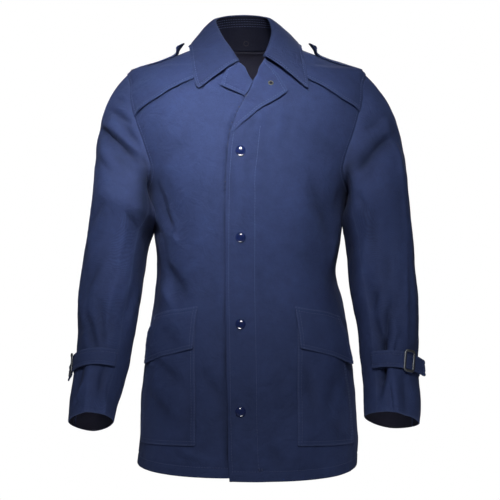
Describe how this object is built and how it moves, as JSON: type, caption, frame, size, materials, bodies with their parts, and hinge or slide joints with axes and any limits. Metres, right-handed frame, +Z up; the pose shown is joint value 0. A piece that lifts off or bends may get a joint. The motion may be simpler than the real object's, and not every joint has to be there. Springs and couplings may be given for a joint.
{
  "type": "military parka",
  "caption": "Hip-length navy military parka with collar and lapels, shoulder straps, front yokes, slant-flapped patch pockets, domed buttons and buckled cuff straps.",
  "frame": {"origin": "between the shoulders at the base of the neck, where a wearer holds the coat up", "axes": "+Z up, the front faces -Y, +X is the wearer's left"},
  "size_m": [0.6293, 0.3131, 0.8416],
  "materials": {
    "gabardine": "dense navy cotton twill, matte",
    "undercollar": "darker navy cloth, stitched in rows",
    "lining": "smooth near-black lining",
    "button": "glossy domed navy cap",
    "buckle": "dark grey metal, satin"
  },
  "bodies": {
    "root": {"back": "gabardine", "front_left": "gabardine", "front_right": "gabardine", "yoke_left": "gabardine", "yoke_right": "gabardine", "sleeve_top_left": "gabardine", "sleeve_top_right": "gabardine", "sleeve_under_left": "gabardine", "sleeve_under_right": "gabardine", "lapel_left": "gabardine", "lapel_right": "gabardine", "collar": "gabardine", "collar_stand": "undercollar", "pocket_left": "gabardine", "pocket_right": "gabardine", "flap_left": "gabardine", "flap_right": "gabardine", "shoulder_strap_left": "gabardine", "shoulder_strap_right": "gabardine", "cuff_strap_left": "gabardine", "cuff_strap_right": "gabardine", "cuff_tab_left": "gabardine", "cuff_tab_right": "gabardine", "neck_lining": "lining", "buckle_left": "buckle", "buckle_right": "buckle", "button_1": "button", "button_2": "button", "button_3": "button", "button_4": "button"}
  },
  "joints": []
}
